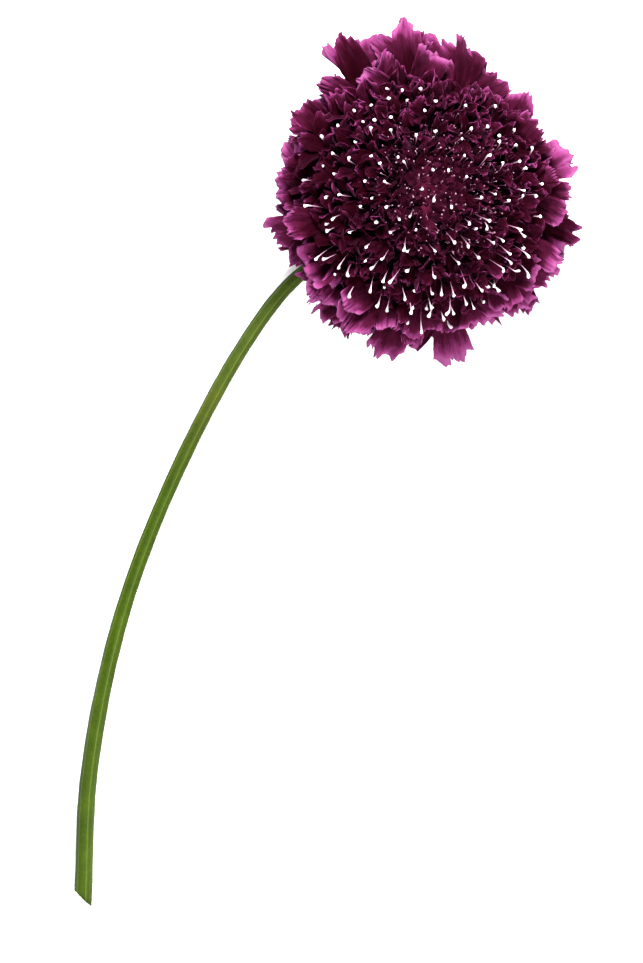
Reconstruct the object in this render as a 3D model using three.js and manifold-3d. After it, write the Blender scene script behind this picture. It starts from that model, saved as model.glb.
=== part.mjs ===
// A double scabiosa (pincushion flower), cut from its plant and laid on a flat surface with its
// bloom facing up. Units are millimetres, +Z is up and the surface is the plane z = 0.
//
// bloom      the ball of florets: buds at the crown, five-lobed disc florets, rows of broad
//            ray petals round the rim and the back, and the pin-like styles
// involucre  the green collar of bracts behind the bloom
// stem       the bare stem, bent at the neck and lying on the surface

import * as THREE from 'three';
import { mergeVertices } from 'three/addons/utils/BufferGeometryUtils.js';
import Module from 'manifold-3d';

const wasm = await Module();
wasm.setup();

const DEGREE = Math.PI / 180;
const GOLDEN_ANGLE = Math.PI * (3 - Math.sqrt(5));

// ---- pose ------------------------------------------------------------------------------------

const HEAD_CENTRE = new THREE.Vector3(21, 60.4, 25); // the middle of the ball of petals
const HEAD_LIFT = 8; // from the top of the stem up the axis to the middle of the ball
const HEAD_TILT = 13 * DEGREE; // of the bloom's axis from the vertical, away from the stem
const HEAD_AZIMUTH = 25.5 * DEGREE; // the direction that the bloom's axis leans to

// ---- bloom -----------------------------------------------------------------------------------

const FACE_RADIUS = 29; // the ball at the lobes of the disc florets
const CORE_RADIUS = 22.5; // the receptacle and packed floret tubes that all petals grow from
const CORE_FLOOR = 2.0; // the core's flat underside, above the top of the stem
const CORE_FLOOR_RADIUS = 7;
const CORE_WAIST = 96 * DEGREE; // from here the core closes towards its flat underside
const CORE_RINGS = 6;
const CORE_SIDES = 12;

const BUD_COUNT = 19;
const BUD_SPREAD = 15 * DEGREE; // the crown of closed buds reaches this far from the axis
const BUD_RADIUS = 1.5;
const BUD_TOP = 28.6; // from the middle of the ball

const FLORET_COUNT = 82;
const FLORET_FIRST = 18 * DEGREE;
const FLORET_LAST = 70 * DEGREE;
const FLORET_LOBES = 5;
const LOBE_REACH = 3.75; // from the floret's middle to a lobe's tip
const NOTCH_REACH = 2.3;
const NOTCH_DEPTH = 1.6; // the notches lie lower than the tips
const TIP_SPREAD = 0.9;
const OUTER_LOBE_GAIN = 0.2; // lobes on the side away from the crown are longer
const TUBE_RADIUS = 1.7;
const TUBE_TOP = 24.5; // from the middle of the ball
const FLORET_ROOT = 14;
const THROAT_DEPTH = 3.8;

const PIN_SIDES = 3;
const PIN_SHAFT = 0.36;
const PIN_HEAD = 0.85;
const PIN_REACH = 2.6; // past the lobes
const PIN_SWAY = 9 * DEGREE;

const PETAL_THICKNESS = 0.8;

// Rows of ray petals from the front of the rim to the skirt behind the bloom. Each petal follows
// a curve in the plane of the axis, from root over bend to tip, given as (distance from the
// axis, height above the top of the stem).
const RAY_ROWS = [
  { count: 15, halfWidth: 5.9, root: [12, 13], bend: [27, 20], tip: [31.4, 13] },
  { count: 16, halfWidth: 6.0, root: [13, 10], bend: [29, 13], tip: [32.4, 3] },
  { count: 14, halfWidth: 6.0, root: [12, 9], bend: [27, 6], tip: [28.8, -6.5] },
  { count: 11, halfWidth: 5.8, root: [9, 8], bend: [25, -2], tip: [23.5, -17.5] },
];

const SKIRT_ROW = 3; // the row that the bloom rests on
// Places on a petal's margin: sideways from -1 to 1, and along the petal.
const TOOTHED_MARGIN = [
  [-1, 0.86],
  [-0.72, 0.97],
  [-0.42, 0.91],
  [-0.12, 1],
  [0.2, 0.92],
  [0.6, 1],
  [1, 0.87],
];

// ---- involucre -------------------------------------------------------------------------------

const JOINT_GAP = 0.3; // between pieces that touch
const STEM_TOP = -1.0; // the top of the stem, on the bloom's axis
const COLLAR_RADIUS = 5.2;
const BRACT_COUNT = 11;
const BRACT_HALF_WIDTH = 2.3;
const BRACT_THICKNESS = 0.8;
const BRACT_ROOT = [3, 0.35];
const BRACT_BEND = [13, 0.9];
const BRACT_TIP = [14.5, -12];

// ---- stem ------------------------------------------------------------------------------------

const NECK_RADIUS = 1.4; // the stem's own radius below the bloom
const FOOT_RADIUS = 1.95; // and at its cut end
const FLARE_RADIUS = 3.2; // where it meets the collar
const FLARE_LENGTH = 5;
const NECK_STRAIGHT = 3.5; // along the axis before the neck bends
const NECK_STEPS = 5;
const STEM_SIDES = 12;
const STEM_STEPS = 56;
const STEM_RIBS = 6;
const RIB_HEIGHT = 0.05; // of the radius
const CUT_SLANT = 0.9; // the cut end leans this far for each mm across

// The lying stem seen from above, from the middle of the head.
const STEM_PLAN = [
  [-27.5, -16],
  [-38.5, -30.5],
  [-54.5, -61],
  [-66, -92],
  [-72.6, -125],
  [-74, -153],
];

// ---- materials -------------------------------------------------------------------------------

const PETAL_MATERIAL = new THREE.MeshStandardMaterial({ color: 0x551036, roughness: 0.6 });
const BRACT_MATERIAL = new THREE.MeshStandardMaterial({ color: 0x3f5a1e, roughness: 0.6 });
const STEM_MATERIAL = new THREE.MeshStandardMaterial({ color: 0x567a22, roughness: 0.5 });

// ---- frames ----------------------------------------------------------------------------------

const headTurn = new THREE.Matrix4()
  .makeRotationZ(HEAD_AZIMUTH)
  .multiply(new THREE.Matrix4().makeRotationY(HEAD_TILT));
const headAxis = new THREE.Vector3(0, 0, 1).applyMatrix4(headTurn);
const stemTop = HEAD_CENTRE.clone().addScaledVector(headAxis, -HEAD_LIFT);
const headFrame = headTurn.clone().setPosition(stemTop); // its origin is the top of the stem

// A repeatable value from 0 to 1 for item i and property k.
function chance(i, k) {
  const value = Math.sin(i * 12.9898 + k * 78.233) * 43758.5453;
  return value - Math.floor(value);
}

function spread(i, k, size) {
  return (chance(i, k) * 2 - 1) * size;
}

// ---- solids ----------------------------------------------------------------------------------

function geometryFrom(points, triangles) {
  const geometry = new THREE.BufferGeometry().setFromPoints(points);
  geometry.setIndex(triangles.flat());
  return geometry;
}

function solidFrom(geometry) {
  const plain = geometry.clone();
  plain.deleteAttribute('normal');
  plain.deleteAttribute('uv');
  const merged = mergeVertices(plain, 1e-4);
  const index = merged.getIndex().array;
  const kept = [];
  for (let i = 0; i < index.length; i += 3) {
    const [a, b, c] = [index[i], index[i + 1], index[i + 2]];
    if (a !== b && b !== c && c !== a) kept.push(a, b, c);
  }
  const vertProperties = new Float32Array(merged.getAttribute('position').array);
  const triVerts = new Uint32Array(kept);
  return new wasm.Manifold(new wasm.Mesh({ numProp: 3, vertProperties, triVerts }));
}

function geometryOf(solid) {
  const mesh = solid.getMesh();
  const geometry = new THREE.BufferGeometry();
  geometry.setAttribute('position', new THREE.BufferAttribute(mesh.vertProperties, 3));
  geometry.setIndex(new THREE.BufferAttribute(mesh.triVerts, 1));
  return geometry;
}

function joined(solids) {
  let whole = solids[0];
  for (const solid of solids.slice(1)) whole = whole.add(solid);
  return whole;
}

function largestBody(solid) {
  const bodies = solid.decompose();
  bodies.sort((a, b) => b.volume() - a.volume());
  return bodies[0];
}

// A line of points is { points, normals }. Two lines with any numbers of points are joined by
// triangles, always advancing on the line that lags behind.
function strip(lower, upper) {
  const triangles = [];
  let i = 0;
  let j = 0;
  while (i < lower.length - 1 || j < upper.length - 1) {
    const nextLower = (i + 1) / (lower.length - 1);
    const nextUpper = (j + 1) / (upper.length - 1);
    if (j === upper.length - 1 || (i < lower.length - 1 && nextLower <= nextUpper)) {
      triangles.push([lower[i], lower[i + 1], upper[j]]);
      i += 1;
    } else {
      triangles.push([lower[i], upper[j + 1], upper[j]]);
      j += 1;
    }
  }
  return triangles;
}

// A thin closed blade over lines of points that run across it, from its root to its tip. The
// same triangles serve both faces.
function blade(lines, thickness) {
  const points = [];
  const addFace = (offset) =>
    lines.map((line) =>
      line.points.map((point, n) => points.push(point.clone().addScaledVector(line.normals[n], offset)) - 1)
    );
  const front = addFace(thickness / 2);
  const shift = points.length;
  addFace(-thickness / 2);
  const faces = front.slice(1).flatMap((line, n) => strip(front[n], line));
  const backs = faces.map(([a, b, c]) => [a + shift, c + shift, b + shift]);
  const right = front.slice(1, -1).map((line) => line[line.length - 1]);
  const left = front.slice(1, -1).map((line) => line[0]);
  const rim = [...front[0], ...right, ...[...front[front.length - 1]].reverse(), ...left.reverse()];
  const edges = rim.flatMap((a, n) => {
    const b = rim[(n + 1) % rim.length];
    return [
      [a, a + shift, b + shift],
      [a, b + shift, b],
    ];
  });
  return solidFrom(geometryFrom(points, [...faces, ...backs, ...edges]));
}

// Lines across a leaf-like blade that follows a curve in the plane of the axis, turned to an
// azimuth. offset(t, s) lifts a point off the blade's mid surface, and rows lists for each line
// its place t along the curve, its half width, and the sideways places s with their own t.
function bladeLines(curve, azimuth, rows, offset) {
  const across = new THREE.Vector3(-Math.sin(azimuth), Math.cos(azimuth), 0);
  const outward = new THREE.Vector3(Math.cos(azimuth), Math.sin(azimuth), 0);
  const inPlane = (v) => outward.clone().multiplyScalar(v.x).setZ(v.y);
  return rows.map((row) => {
    const line = { points: [], normals: [] };
    for (const [s, t] of row.places) {
      const along = inPlane(curve.getTangent(t));
      const normal = new THREE.Vector3().crossVectors(across, along).normalize();
      const point = inPlane(curve.getPoint(t)).addScaledVector(across, s * row.halfWidth);
      point.addScaledVector(normal, offset(t, s));
      line.points.push(point.applyMatrix4(headFrame));
      line.normals.push(normal.transformDirection(headFrame));
    }
    return line;
  });
}

function planeCurve(root, bend, tip) {
  return new THREE.QuadraticBezierCurve(
    new THREE.Vector2(...root),
    new THREE.Vector2(...bend),
    new THREE.Vector2(...tip)
  );
}

// ---- bloom -----------------------------------------------------------------------------------

// The unit directions at one place on the ball: out of it, down its side, and round it.
function ballFrame(polar, azimuth) {
  const out = new THREE.Vector3().setFromSphericalCoords(1, polar, 0);
  const down = new THREE.Vector3().setFromSphericalCoords(1, polar + Math.PI / 2, 0);
  const turn = new THREE.Matrix4().makeRotationZ(azimuth);
  const upright = (v) => new THREE.Vector3(v.z, v.x, v.y).applyMatrix4(turn);
  return { out: upright(out), down: upright(down), round: upright(new THREE.Vector3(1, 0, 0)) };
}

// A point at a distance from the ball's middle, with sideways offsets down and round the ball.
function ballPoint(frame, distance, down, round) {
  return new THREE.Vector3(0, 0, HEAD_LIFT)
    .addScaledVector(frame.out, distance)
    .addScaledVector(frame.down, down)
    .addScaledVector(frame.round, round)
    .applyMatrix4(headFrame);
}

function ring(frame, distance, radius, count, phase) {
  return Array.from({ length: count }, (_, k) => {
    const angle = phase + (k * 2 * Math.PI) / count;
    return ballPoint(frame, distance, radius * Math.cos(angle), radius * Math.sin(angle));
  });
}

// A closed solid over rings of equal count, with a point at each end.
function ringSolid(bottom, rings, top) {
  const count = rings[0].length;
  const points = [bottom, ...rings.flat(), top];
  const last = points.length - 1;
  const at = (level, k) => 1 + level * count + (k % count);
  const triangles = [];
  for (let k = 0; k < count; k += 1) {
    triangles.push([0, at(0, k + 1), at(0, k)]);
    for (let level = 1; level < rings.length; level += 1) {
      triangles.push([at(level - 1, k), at(level - 1, k + 1), at(level, k + 1)]);
      triangles.push([at(level - 1, k), at(level, k + 1), at(level, k)]);
    }
    triangles.push([last, at(rings.length - 1, k), at(rings.length - 1, k + 1)]);
  }
  return solidFrom(geometryFrom(points, triangles));
}

function core() {
  const arc = Array.from({ length: CORE_RINGS }, (_, n) => {
    const polar = CORE_WAIST * (1 - n / CORE_RINGS);
    return new THREE.Vector2(CORE_RADIUS * Math.sin(polar), HEAD_LIFT + CORE_RADIUS * Math.cos(polar));
  });
  const underside = [new THREE.Vector2(0, CORE_FLOOR), new THREE.Vector2(CORE_FLOOR_RADIUS, CORE_FLOOR)];
  const crown = new THREE.Vector2(0, HEAD_LIFT + CORE_RADIUS);
  const lathe = new THREE.LatheGeometry([...underside, ...arc, crown], CORE_SIDES);
  lathe.rotateX(Math.PI / 2);
  return solidFrom(lathe.applyMatrix4(headFrame));
}

function bud(i) {
  const polar = BUD_SPREAD * Math.sqrt((i + 0.3) / BUD_COUNT);
  const frame = ballFrame(polar, i * GOLDEN_ANGLE);
  const top = BUD_TOP + spread(i, 11, 0.5);
  const root = ballPoint(frame, CORE_RADIUS - 3, 0, 0);
  const waist = ring(frame, CORE_RADIUS + 2, BUD_RADIUS * 0.6, 4, 0);
  const belly = ring(frame, top - BUD_RADIUS, BUD_RADIUS, 4, 0);
  return ringSolid(root, [waist, belly], ballPoint(frame, top, 0, 0));
}

function floretPlace(i) {
  const share = (i + 0.5) / FLORET_COUNT;
  const height = Math.cos(FLORET_FIRST) + (Math.cos(FLORET_LAST) - Math.cos(FLORET_FIRST)) * share;
  return ballFrame(Math.acos(height) + spread(i, 1, 0.02), i * GOLDEN_ANGLE + spread(i, 2, 0.03));
}

// The three rings of a style: a thin shaft that widens into its stigma like the head of a pin.
function pinRings(frame, i, start, end) {
  const down = Math.tan(spread(i, 7, PIN_SWAY)) * (end - start);
  const round = Math.tan(spread(i, 8, PIN_SWAY)) * (end - start);
  return [[0, PIN_SHAFT], [0.86, PIN_SHAFT], [1, PIN_HEAD]].map(([share, radius]) =>
    Array.from({ length: PIN_SIDES }, (_, k) => {
      const angle = (k * 2 * Math.PI) / PIN_SIDES;
      const [dx, dy] = [radius * Math.cos(angle), radius * Math.sin(angle)];
      return ballPoint(frame, start + (end - start) * share, down * share + dx, round * share + dy);
    })
  );
}

// A disc floret: a slim tube that opens into a star of pointed lobes round a sunken throat.
function discFloret(i) {
  const frame = floretPlace(i);
  const face = FACE_RADIUS + spread(i, 3, 0.9);
  const phase = spread(i, 4, 0.6);
  const size = 1 + spread(i, 5, 0.1);
  const rim = Array.from({ length: 2 * FLORET_LOBES }, (_, k) => {
    const angle = phase + (k * Math.PI) / FLORET_LOBES;
    const tip = k % 2 === 0;
    const gain = 1 + OUTER_LOBE_GAIN * Math.cos(angle);
    const reach = size * (tip ? LOBE_REACH * gain : NOTCH_REACH);
    const lift = tip ? spread(i * 7 + k, 6, TIP_SPREAD) : -NOTCH_DEPTH;
    return ballPoint(frame, face + lift, reach * Math.cos(angle), reach * Math.sin(angle));
  });
  const tube = ring(frame, TUBE_TOP, TUBE_RADIUS, FLORET_LOBES, phase);
  const pin = pinRings(frame, i, face - THROAT_DEPTH, face + PIN_REACH + spread(i, 9, 0.8));
  const points = [ballPoint(frame, FLORET_ROOT, 0, 0), ...tube, ...rim, ...pin.flat()];
  const tubeAt = (k) => 1 + (k % FLORET_LOBES);
  const rimStart = 1 + FLORET_LOBES;
  const rimAt = (k) => rimStart + (k % (2 * FLORET_LOBES));
  const triangles = [];
  for (let k = 0; k < FLORET_LOBES; k += 1) {
    const [tip, notch, next] = [rimAt(2 * k), rimAt(2 * k + 1), rimAt(2 * k + 2)];
    triangles.push([0, tubeAt(k + 1), tubeAt(k)]);
    triangles.push([tubeAt(k), tubeAt(k + 1), notch]);
    triangles.push([tubeAt(k), notch, tip], [tubeAt(k + 1), next, notch]);
  }
  const pinStart = rimStart + 2 * FLORET_LOBES;
  const rimLoop = Array.from({ length: 2 * FLORET_LOBES + 1 }, (_, k) => rimAt(k));
  const pinLoop = Array.from({ length: PIN_SIDES + 1 }, (_, k) => pinStart + (k % PIN_SIDES));
  triangles.push(...strip(rimLoop, pinLoop), ...pinTriangles(pinStart));
  return solidFrom(geometryFrom(points, triangles));
}

// The triangles from each ring of a style to the next, and over its flat head.
function pinTriangles(start) {
  const triangles = [[start + 6, start + 7, start + 8]];
  for (let n = 0; n < 2; n += 1) {
    for (let k = 0; k < PIN_SIDES; k += 1) {
      const [a, b] = [start + n * PIN_SIDES + k, start + n * PIN_SIDES + ((k + 1) % PIN_SIDES)];
      triangles.push([a, b, b + PIN_SIDES], [a, b + PIN_SIDES, a + PIN_SIDES]);
    }
  }
  return triangles;
}

// What reaches below the surface is folded out flat along it.
function pressed(line) {
  line.points.forEach((point, n) => {
    const depth = PETAL_THICKNESS / 2 - point.z;
    if (depth <= 0) return;
    const outward = point.clone().sub(HEAD_CENTRE).setZ(0).normalize();
    point.addScaledVector(outward, depth).setZ(PETAL_THICKNESS / 2);
    line.normals[n].set(0, 0, -1);
  });
  return line;
}

// A broad ray petal: a narrow claw that opens into a fan with a toothed and waved margin.
function rayPetal(rowNumber, n) {
  const row = RAY_ROWS[rowNumber];
  const i = 100 * (rowNumber + 1) + n;
  const azimuth = ((n + 0.5 * (rowNumber % 2) + spread(i, 1, 0.12)) * 2 * Math.PI) / row.count;
  const length = 1 + spread(i, 2, 0.05);
  const tip = [row.tip[0] * length, row.tip[1] + spread(i, 3, 1.2)];
  const curve = planeCurve(row.root, row.bend, tip);
  const halfWidth = row.halfWidth * (1 + spread(i, 4, 0.08));
  const wave = (t, s) => 1.3 * t * t * Math.sin(3.2 * s + 6.28 * chance(i, 5)) - 1.2 * t * s * s;
  const lines = [
    { halfWidth: 0.9, places: [[-1, 0.1], [1, 0.1]] },
    { halfWidth: halfWidth * 0.62, places: [[-1, 0.58], [0, 0.56], [1, 0.58]] },
    { halfWidth: halfWidth * 0.9, places: [[-1, 0.81], [0, 0.81], [1, 0.81]] },
    { halfWidth, places: TOOTHED_MARGIN },
  ];
  if (rowNumber !== SKIRT_ROW) lines.splice(2, 1);
  return blade(bladeLines(curve, azimuth, lines, wave).map(pressed), PETAL_THICKNESS);
}

function bloom() {
  const florets = Array.from({ length: FLORET_COUNT }, (_, i) => discFloret(i));
  const buds = Array.from({ length: BUD_COUNT }, (_, i) => bud(i));
  const rays = RAY_ROWS.flatMap((row, number) => {
    return Array.from({ length: row.count }, (_, n) => rayPetal(number, n));
  });
  const whole = largestBody(joined([core(), ...buds, ...florets, ...rays]));
  return new THREE.Mesh(geometryOf(whole), PETAL_MATERIAL);
}

// ---- involucre -------------------------------------------------------------------------------

function bract(i) {
  const azimuth = ((i + spread(i, 21, 0.15)) * 2 * Math.PI) / BRACT_COUNT;
  const length = 1 + spread(i, 22, 0.1);
  const tip = [BRACT_TIP[0] + spread(i, 23, 1), BRACT_TIP[1] * length];
  const curve = planeCurve(BRACT_ROOT, BRACT_BEND, tip);
  const fold = (t, s) => -0.5 * Math.abs(s) * (1 - t * 0.5);
  const across = (t) => [[-1, t], [0, t], [1, t]];
  const rows = [
    { halfWidth: BRACT_HALF_WIDTH * 0.55, places: across(0.02) },
    { halfWidth: BRACT_HALF_WIDTH, places: across(0.35) },
    { halfWidth: BRACT_HALF_WIDTH * 0.9, places: across(0.62) },
    { halfWidth: BRACT_HALF_WIDTH * 0.5, places: across(0.86) },
    { halfWidth: 0.35, places: across(1) },
  ];
  return blade(bladeLines(curve, azimuth, rows, fold), BRACT_THICKNESS);
}

function collar() {
  const low = STEM_TOP + JOINT_GAP;
  const high = CORE_FLOOR - JOINT_GAP;
  const profile = [
    [0, low],
    [COLLAR_RADIUS * 0.65, low],
    [COLLAR_RADIUS, (low + high) / 2],
    [COLLAR_RADIUS * 0.8, high],
    [0, high],
  ];
  const lathe = new THREE.LatheGeometry(profile.map(([x, y]) => new THREE.Vector2(x, y)), 16);
  lathe.rotateX(Math.PI / 2);
  return solidFrom(lathe.applyMatrix4(headFrame));
}

function involucre() {
  const bracts = Array.from({ length: BRACT_COUNT }, (_, i) => bract(i));
  return new THREE.Mesh(geometryOf(joined([collar(), ...bracts])), BRACT_MATERIAL);
}

// ---- stem ------------------------------------------------------------------------------------

// From the collar down the axis, round the neck onto the surface, then along the surface.
function stemCurve() {
  const top = stemTop.clone().addScaledVector(headAxis, STEM_TOP);
  const bendStart = top.clone().addScaledVector(headAxis, -NECK_STRAIGHT);
  const away = new THREE.Vector3(-Math.cos(HEAD_AZIMUTH), -Math.sin(HEAD_AZIMUTH), 0);
  const bendRadius = (bendStart.z - NECK_RADIUS) / (1 - Math.sin(HEAD_TILT));
  const points = [top, top.clone().lerp(bendStart, 0.5)];
  for (let n = 0; n <= NECK_STEPS; n += 1) {
    const heading = HEAD_TILT + ((Math.PI / 2 - HEAD_TILT) * n) / NECK_STEPS;
    const run = bendRadius * (Math.cos(HEAD_TILT) - Math.cos(heading));
    const drop = bendRadius * (Math.sin(heading) - Math.sin(HEAD_TILT));
    points.push(bendStart.clone().addScaledVector(away, run).setZ(bendStart.z - drop));
  }
  for (const [x, y] of STEM_PLAN) {
    const share = (y - STEM_PLAN[0][1]) / (STEM_PLAN.at(-1)[1] - STEM_PLAN[0][1]);
    const radius = THREE.MathUtils.lerp(NECK_RADIUS, FOOT_RADIUS, share) * (1 + RIB_HEIGHT);
    points.push(new THREE.Vector3(HEAD_CENTRE.x + x, HEAD_CENTRE.y + y, radius));
  }
  return new THREE.CatmullRomCurve3(points, false, 'centripetal');
}

function stemRadius(distance, length) {
  const slim = THREE.MathUtils.lerp(NECK_RADIUS, FOOT_RADIUS, distance / length);
  const flare = Math.max(0, 1 - distance / FLARE_LENGTH);
  return slim + (FLARE_RADIUS - NECK_RADIUS) * flare * flare;
}

// A slightly ribbed tube that thickens towards its slanted cut end. No point of it goes under
// the surface that it lies on.
function stem() {
  const curve = stemCurve();
  const length = curve.getLength();
  const frames = curve.computeFrenetFrames(STEM_STEPS, false);
  const points = [];
  for (let n = 0; n <= STEM_STEPS; n += 1) {
    const centre = curve.getPointAt(n / STEM_STEPS);
    const radius = stemRadius((length * n) / STEM_STEPS, length);
    for (let k = 0; k < STEM_SIDES; k += 1) {
      const angle = (k * 2 * Math.PI) / STEM_SIDES;
      const reach = radius * (1 + RIB_HEIGHT * Math.cos(STEM_RIBS * angle));
      const [x, y] = [reach * Math.cos(angle), reach * Math.sin(angle)];
      const point = centre.clone();
      point.addScaledVector(frames.normals[n], x).addScaledVector(frames.binormals[n], y);
      if (n === STEM_STEPS) point.addScaledVector(frames.tangents[n], CUT_SLANT * x);
      point.z = Math.max(point.z, 0);
      points.push(point);
    }
  }
  points.push(curve.getPointAt(0), curve.getPointAt(1));
  const [first, last] = [points.length - 2, points.length - 1];
  const at = (n, k) => n * STEM_SIDES + (k % STEM_SIDES);
  const triangles = [];
  for (let k = 0; k < STEM_SIDES; k += 1) {
    for (let n = 0; n < STEM_STEPS; n += 1) {
      triangles.push([at(n, k), at(n, k + 1), at(n + 1, k + 1)]);
      triangles.push([at(n, k), at(n + 1, k + 1), at(n + 1, k)]);
    }
    triangles.push([first, at(0, k + 1), at(0, k)], [last, at(STEM_STEPS, k), at(STEM_STEPS, k + 1)]);
  }
  return new THREE.Mesh(geometryFrom(points, triangles), STEM_MATERIAL);
}

// ---- the flower ------------------------------------------------------------------------------

function named(mesh, name) {
  mesh.name = name;
  return mesh;
}

const flower = new THREE.Group();
flower.add(named(bloom(), 'bloom'), named(involucre(), 'involucre'), named(stem(), 'stem'));

export default flower;
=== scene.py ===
from math import acos, atan2, cos, floor, pi, radians, sin, sqrt

import bpy
import numpy as np
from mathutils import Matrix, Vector


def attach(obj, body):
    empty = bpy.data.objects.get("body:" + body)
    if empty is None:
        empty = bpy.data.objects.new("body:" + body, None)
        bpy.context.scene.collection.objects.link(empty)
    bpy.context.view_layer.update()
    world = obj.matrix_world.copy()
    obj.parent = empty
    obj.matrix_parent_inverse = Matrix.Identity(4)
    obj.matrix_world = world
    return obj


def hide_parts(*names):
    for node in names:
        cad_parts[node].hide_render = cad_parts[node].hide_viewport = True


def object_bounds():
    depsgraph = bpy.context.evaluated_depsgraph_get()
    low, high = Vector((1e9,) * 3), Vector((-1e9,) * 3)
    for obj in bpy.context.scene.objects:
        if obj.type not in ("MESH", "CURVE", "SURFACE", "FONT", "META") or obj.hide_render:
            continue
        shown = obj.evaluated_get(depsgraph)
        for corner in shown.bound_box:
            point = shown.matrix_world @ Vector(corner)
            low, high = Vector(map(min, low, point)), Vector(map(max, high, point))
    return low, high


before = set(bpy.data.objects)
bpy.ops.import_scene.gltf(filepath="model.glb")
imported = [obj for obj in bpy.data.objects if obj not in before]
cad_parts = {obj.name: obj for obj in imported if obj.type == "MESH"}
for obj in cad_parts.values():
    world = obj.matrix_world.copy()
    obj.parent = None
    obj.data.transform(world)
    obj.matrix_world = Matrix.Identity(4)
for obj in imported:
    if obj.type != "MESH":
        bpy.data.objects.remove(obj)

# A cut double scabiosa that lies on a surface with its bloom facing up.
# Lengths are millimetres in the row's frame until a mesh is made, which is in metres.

cad_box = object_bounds()

METRE = 0.001
SEED = 11
GOLDEN_ANGLE = pi * (3 - sqrt(5))

# ---- where the solids are ----

HEAD_CENTRE = np.array([21.0, 60.4, 25.0])  # the middle of the ball of florets
HEAD_LIFT = 8.0  # from the top of the stem to the ball's middle, along the head's axis
HEAD_TILT = radians(13)
HEAD_AZIMUTH = radians(25.5)

# Rows of ray petals from the face to the back. The points are (radius, height) on the head.
RAY_ROWS = [
    dict(count=15, width=8.6, root=(12, 13), bend=(27, 20), tip=(31.4, 13)),
    dict(count=16, width=9.0, root=(13, 10), bend=(29, 13), tip=(32.4, 3)),
    dict(count=14, width=9.0, root=(12, 9), bend=(27, 6), tip=(28.8, -6.5)),
    dict(count=11, width=8.6, root=(9, 8), bend=(25, -2), tip=(23.5, -17.5)),
]

STEM_TOP = -1.0  # on the head's axis
NECK_STRAIGHT, NECK_STEPS = 3.5, 5
NECK_RADIUS, FOOT_RADIUS = 1.4, 1.95
FLARE_RADIUS, FLARE_LENGTH = 3.2, 5.0
RIB_HEIGHT = 0.05  # as a share of the stem's radius
CUT_SLANT = 0.9
# Where the stem lies on the surface, from the middle of the head.
STEM_PLAN = [(-27.5, -16), (-38.5, -30.5), (-54.5, -61), (-66, -92), (-72.6, -125), (-74, -153)]

BRACT_COUNT = 11
BRACT_ROOT, BRACT_BEND, BRACT_TIP = (3, 0.35), (13, 0.9), (14.5, -12)  # (radius, height)

# ---- numbers ----


def chance(i, k):
    """Number k of thing i: from 0 to 1, random to look at and the same each time."""
    value = sin(i * 12.9898 + k * 78.233) * 43758.5453
    return value - floor(value)


def spread(i, k, size):
    """The same from -size to size."""
    return (chance(i, k) * 2 - 1) * size


def unit(v):
    return v / np.linalg.norm(v, axis=-1, keepdims=True)


def turn_z(angle):
    c, s = cos(angle), sin(angle)
    return np.array([[c, -s, 0], [s, c, 0], [0, 0, 1.0]])


def turn_y(angle):
    c, s = cos(angle), sin(angle)
    return np.array([[c, 0, s], [0, 1.0, 0], [-s, 0, c]])


HEAD_TURN = turn_z(HEAD_AZIMUTH) @ turn_y(HEAD_TILT)
HEAD_AXIS = HEAD_TURN[:, 2]
STEM_POINT = HEAD_CENTRE - HEAD_LIFT * HEAD_AXIS
BALL_MIDDLE = np.array([0, 0, HEAD_LIFT])
NEAR, SKYWARD = -HEAD_TURN[1], HEAD_TURN[2]  # in the head's frame: to the stem's cut end, and up


def to_row(points):
    """From the head's frame, which starts at the stem's top, to the row's frame."""
    return points @ HEAD_TURN.T + STEM_POINT


def ball_frame(polar, azimuth):
    """Unit directions out of the ball, down its side and round it, in the head's frame."""
    turn = turn_z(azimuth)
    out = turn @ np.array([sin(polar), 0, cos(polar)])
    down = turn @ np.array([cos(polar), 0, -sin(polar)])
    return out, down, turn @ np.array([0, 1.0, 0])


def sway(rng, size, down, round_):
    """A random step down and round the ball."""
    return rng.normal(0, size) * down + rng.normal(0, size) * round_


# ---- lobes ----

CURVE_STEPS = 40
CURVE_REACH = 1.25  # teeth reach past a lobe's length, by less than this
FLOOR_GAP = 0.02
FLAT_DEPTH = 0.5  # what is this far below the surface lies quite flat on it
MARGIN_THINNING = 0.45


def new_lobe(rng, origin, along, face, length, width, **changes):
    """One lobe with the usual ruffles, as named values that changes may replace.

    It starts at origin, runs along and shows its upper side to face. bend and curl turn it off
    its plane, in radians that grow with the way and its square. cup hollows it, ruffle and frill
    wave its margin, teeth and round shape its end, and close narrows its outer half. ring and
    seed are for the material; ring holds the lobe's tone together with painted light.
    """
    values = dict(
        origin=origin, along=along, face=face, length=length, width=width, base=width * 0.3,
        bend=-0.5, curl=0.0, cup=rng.uniform(-0.1, 0.5),
        ruffle=width * rng.uniform(0.06, 0.15), waves=rng.uniform(1.2, 2.4), phase=rng.uniform(0, 1),
        frill=width * rng.uniform(0.03, 0.07), frill_waves=rng.uniform(3.5, 6),
        frill_phase=rng.uniform(0, 1), twist=rng.uniform(-0.35, 0.35),
        teeth=rng.uniform(0.1, 0.2), tooth_count=rng.uniform(3.5, 5.5), tooth_phase=rng.uniform(0, 1),
        round=rng.uniform(0.22, 0.4), pleat=rng.uniform(0.05, 0.15),
        close=0.0, ring=0.5, seed=rng.uniform(0, 1),
    )
    values.update(changes)
    return values


def columns(lobes):
    """Each property of all lobes, as (lobe, 1, 1) numbers or (lobe, 1, 1, 3) vectors."""
    return {key: np.array([lobe[key] for lobe in lobes], float)[:, None, None] for key in lobes[0]}


def tooth_pattern(lobe, u):
    """The zigzag of the teeth across a lobe, and how uneven they are."""
    uneven_step = 0.3 * np.sin(4 * u + 7 * lobe["seed"])
    turns = lobe["tooth_count"] * (u + 1) / 2 + lobe["tooth_phase"] + uneven_step
    return np.abs((turns % 1.0) * 2 - 1), 0.65 + 0.55 * np.sin(4 * u + 9 * lobe["seed"])


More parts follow.
